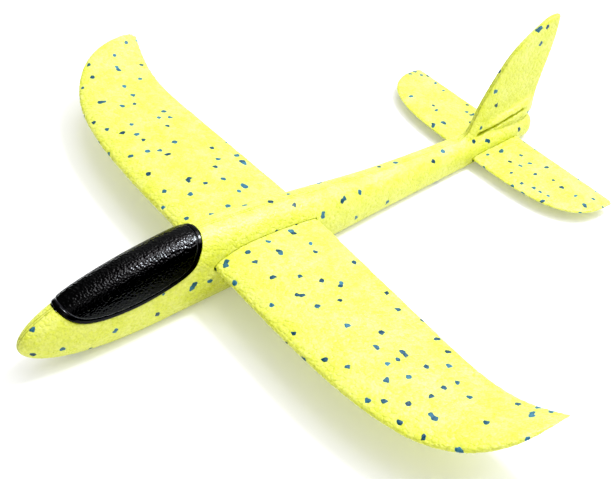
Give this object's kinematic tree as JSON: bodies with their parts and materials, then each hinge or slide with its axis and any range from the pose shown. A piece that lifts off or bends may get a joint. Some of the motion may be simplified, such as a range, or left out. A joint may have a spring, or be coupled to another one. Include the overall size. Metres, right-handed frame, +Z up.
{
  "type": "toy airplane",
  "caption": "Hand-launch toy glider in moulded bead foam, with a slot-in wing and tailplane, upturned wing tips, a fin and a black lift-off canopy over a nose weight.",
  "frame": {"origin": "on the flat of the belly, in the middle plane, under the trailing edge of the wing root", "axes": "+Z up, -Y towards the nose and +Y towards the tail, +X towards the glider's left wing tip"},
  "size_m": [0.479, 0.4463, 0.1004],
  "materials": {
    "fuselage_foam": "lime-yellow moulded bead foam with sparse blue beads, soft satin skin",
    "wing_foam": "lime-yellow moulded bead foam with sparse blue beads, soft satin skin",
    "tail_foam": "lime-yellow moulded bead foam with sparse blue beads, soft satin skin",
    "canopy_skin": "glossy black with a pebbled leather grain",
    "weight_steel": "turned bright steel"
  },
  "bodies": {
    "fuselage": {"fuselage": "fuselage_foam", "nose_weight": "weight_steel"},
    "wing": {"main_wing": "wing_foam"},
    "tailplane": {"tailplane": "tail_foam"},
    "canopy": {"canopy": "canopy_skin"}
  },
  "joints": [
    {"name": "wing_slide", "type": "slide", "parent": "fuselage", "child": "wing", "axis": [1, 0, 0], "range_m": [-0.14, 0.14]},
    {"name": "tailplane_slide", "type": "slide", "parent": "fuselage", "child": "tailplane", "axis": [1, 0, 0], "range_m": [-0.09, 0.09]},
    {"name": "canopy_lift", "type": "slide", "parent": "fuselage", "child": "canopy", "axis": [0, 0, 1], "range_m": [0, 0.04]}
  ]
}
